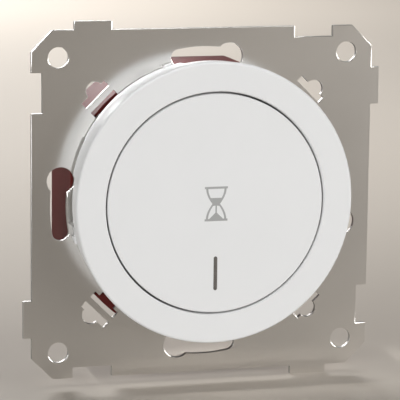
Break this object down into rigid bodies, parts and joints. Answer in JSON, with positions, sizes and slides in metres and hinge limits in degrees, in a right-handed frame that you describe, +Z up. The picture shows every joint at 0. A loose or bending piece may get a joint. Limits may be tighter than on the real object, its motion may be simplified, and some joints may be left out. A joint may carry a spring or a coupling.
{
  "type": "timer light switch",
  "caption": "Timer light switch insert: round push button in a white cover ring on a square steel mounting plate, with a relay timer in a brown housing behind it.",
  "frame": {"origin": "centre of the mounting plate's back face, which lies on the wall", "axes": "+X right, +Z up, -Y out of the wall towards the room"},
  "size_m": [0.0742, 0.0318, 0.0742],
  "materials": {
    "zinc_steel": "satin galvanised sheet steel",
    "white_plastic": "fine satin moulded white",
    "brown_plastic": "satin moulded red-brown",
    "pale_plastic": "moulded light grey",
    "smoked_guide": "smoked light guide",
    "screw_steel": "zinc plated",
    "spring_steel": "bright spring steel",
    "board_laminate": "green solder mask",
    "black_plastic": "moulded black",
    "amber_lens": "clear amber",
    "blue_plastic": "moulded blue",
    "yellow_plastic": "moulded yellow",
    "orange_plastic": "moulded orange",
    "contact_brass": "bright strip",
    "copper_wire": "enamelled copper wire",
    "soft_iron": "plated soft iron"
  },
  "bodies": {
    "base": {"mounting_plate": "zinc_steel", "housing": "brown_plastic", "front_carrier": "pale_plastic", "carrier_screws": "screw_steel", "cover_ring": "white_plastic", "return_spring": "spring_steel", "circuit_board": "board_laminate", "switch_body": "black_plastic", "indicator_lamp": "amber_lens", "time_setter_body": "blue_plastic", "controller_chip": "black_plastic", "chip_resistors": "black_plastic", "relay_base": "black_plastic", "relay_case": "blue_plastic", "relay_bobbin": "white_plastic", "relay_winding": "copper_wire", "relay_yoke": "soft_iron", "relay_contacts": "contact_brass", "film_capacitor": "yellow_plastic", "smoothing_capacitor": "black_plastic", "surge_varistor": "blue_plastic", "bridge_rectifier": "black_plastic", "fuse_link": "pale_plastic", "contact_bars": "contact_brass", "terminal_block_1": "pale_plastic", "clamp_spring_1": "spring_steel", "terminal_block_2": "pale_plastic", "clamp_spring_2": "spring_steel", "terminal_block_3": "pale_plastic", "clamp_spring_3": "spring_steel", "terminal_block_4": "pale_plastic", "clamp_spring_4": "spring_steel"},
    "button": {"push_button": "white_plastic", "light_guide": "smoked_guide"},
    "plunger": {"switch_plunger": "brown_plastic"},
    "setter": {"time_setter_rotor": "white_plastic"},
    "armature": {"relay_armature": "soft_iron", "relay_blade": "contact_brass"},
    "tab_1": {"release_tab_1": "orange_plastic"},
    "tab_2": {"release_tab_2": "orange_plastic"},
    "tab_3": {"release_tab_3": "orange_plastic"},
    "tab_4": {"release_tab_4": "orange_plastic"}
  },
  "joints": [
    {"name": "button_press", "type": "slide", "parent": "base", "child": "button", "axis": [0, 1, 0], "range_m": [0, 0.0012], "stiffness_N_per_m": 1200, "springref_m": -0.0015, "deforming": ["return_spring"]},
    {"name": "plunger_press", "type": "slide", "parent": "base", "child": "plunger", "axis": [0, 1, 0], "range_m": [0, 0.0012]},
    {"name": "setter_turn", "type": "hinge", "parent": "base", "child": "setter", "pos_m": [0, 0.0014, 0.0133], "axis": [0, -1, 0], "range_deg": [-135, 135]},
    {"name": "armature_tip", "type": "hinge", "parent": "base", "child": "armature", "pos_m": [0.00525, 0.01505, 0.0126], "axis": [0, 0, -1], "range_deg": [0, 5], "stiffness_Nm_per_rad": 0.01, "springref_deg": -5.73},
    {"name": "tab_1_push", "type": "slide", "parent": "base", "child": "tab_1", "axis": [0, -1, 0], "range_m": [0, 0.001], "stiffness_N_per_m": 1500, "springref_m": -0.0005, "deforming": ["clamp_spring_1"]},
    {"name": "tab_2_push", "type": "slide", "parent": "base", "child": "tab_2", "axis": [0, -1, 0], "range_m": [0, 0.001], "stiffness_N_per_m": 1500, "springref_m": -0.0005, "deforming": ["clamp_spring_2"]},
    {"name": "tab_3_push", "type": "slide", "parent": "base", "child": "tab_3", "axis": [0, -1, 0], "range_m": [0, 0.001], "stiffness_N_per_m": 1500, "springref_m": -0.0005, "deforming": ["clamp_spring_3"]},
    {"name": "tab_4_push", "type": "slide", "parent": "base", "child": "tab_4", "axis": [0, -1, 0], "range_m": [0, 0.001], "stiffness_N_per_m": 1500, "springref_m": -0.0005, "deforming": ["clamp_spring_4"]}
  ],
  "couplings": [
    {"joint": "plunger_press", "follows": "button_press", "ratio": 1}
  ]
}
